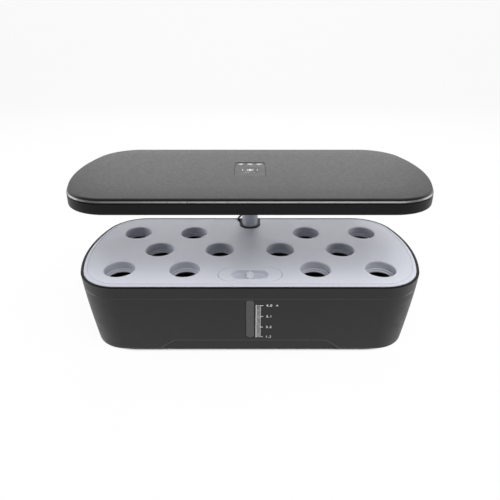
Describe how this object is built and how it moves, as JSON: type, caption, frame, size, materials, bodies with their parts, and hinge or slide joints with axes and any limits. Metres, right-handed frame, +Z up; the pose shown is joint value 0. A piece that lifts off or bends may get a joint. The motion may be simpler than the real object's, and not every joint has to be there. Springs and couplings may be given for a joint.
{
  "type": "countertop hydroponic garden",
  "caption": "Low water tank with a perforated planting deck, a removable inlet lid, a submersible pump and an LED lamp hood on a telescopic pole.",
  "frame": {"origin": "on the surface the garden stands on, under the middle of its outline", "axes": "+X to the right along the tank's length, +Y to the back where the pole stands, +Z up"},
  "size_m": [0.395, 0.186, 0.1893],
  "materials": {
    "tank_plastic": "black, satin",
    "hood_plastic": "black with a fine pebbled grain on top",
    "deck_plastic": "light grey, satin",
    "gauge_plastic": "smoked grey, smooth",
    "pole_metal": "satin grey",
    "bush_plastic": "white, smooth",
    "panel_plastic": "black, fine grain",
    "circuit_board": "green board",
    "lamp_board_white": "white board with pale yellow chips",
    "diffuser_plastic": "frosted, clear white",
    "connector_plastic": "black",
    "pump_plastic": "black",
    "sponge": "open-cell foam, dark grey",
    "lead_rubber": "black sheath",
    "foot_rubber": "black, matt",
    "screw_steel": "plain"
  },
  "bodies": {
    "tank": {"tank_shell": "tank_plastic", "gauge_window": "gauge_plastic", "foot_1": "foot_rubber", "foot_2": "foot_rubber", "foot_3": "foot_rubber", "foot_4": "foot_rubber", "pole_socket": "tank_plastic", "outer_tube": "pole_metal", "outer_collar": "tank_plastic", "pump_body": "pump_plastic", "filter_frame": "pump_plastic", "filter_sponge": "sponge", "suction_cup_1": "foot_rubber", "suction_cup_2": "foot_rubber", "suction_cup_3": "foot_rubber", "suction_cup_4": "foot_rubber", "pump_lead_tank": "lead_rubber", "pump_lead_lower": "lead_rubber"},
    "deck": {"deck": "deck_plastic"},
    "lid": {"inlet_lid": "deck_plastic"},
    "impeller": {"impeller": "bush_plastic"},
    "middle_section": {"middle_tube": "pole_metal", "middle_bush": "bush_plastic", "middle_collar": "tank_plastic", "pump_lead_upper": "lead_rubber"},
    "hood": {"inner_tube": "pole_metal", "inner_bush": "bush_plastic", "hood_tray": "hood_plastic", "hood_cover": "hood_plastic", "touch_panel": "panel_plastic", "touch_board": "circuit_board", "diffuser": "diffuser_plastic", "lamp_board": "lamp_board_white", "control_board": "circuit_board", "pole_receiver": "hood_plastic", "power_inlet": "connector_plastic", "lead_socket": "connector_plastic", "lead_plug": "connector_plastic", "hood_screw_1": "screw_steel", "hood_screw_2": "screw_steel", "hood_screw_3": "screw_steel", "hood_screw_4": "screw_steel", "hood_screw_5": "screw_steel", "hood_screw_6": "screw_steel", "hood_screw_7": "screw_steel", "hood_screw_8": "screw_steel"}
  },
  "joints": [
    {"name": "middle_raise", "type": "slide", "parent": "tank", "child": "middle_section", "axis": [0, 0, 1], "range_m": [0, 0.125], "deforming": ["pump_lead_lower"]},
    {"name": "hood_raise", "type": "slide", "parent": "middle_section", "child": "hood", "axis": [0, 0, 1], "range_m": [0, 0.125], "deforming": ["pump_lead_upper"]},
    {"name": "deck_lift", "type": "slide", "parent": "tank", "child": "deck", "axis": [0, 0, 1], "range_m": [0, 0.045]},
    {"name": "lid_lift", "type": "slide", "parent": "deck", "child": "lid", "axis": [0, 0, 1], "range_m": [0, 0.02]},
    {"name": "impeller_spin", "type": "hinge", "parent": "tank", "child": "impeller", "pos_m": [-0.052, 0.041, 0.0228], "axis": [0, 1, 0], "continuous": true}
  ]
}
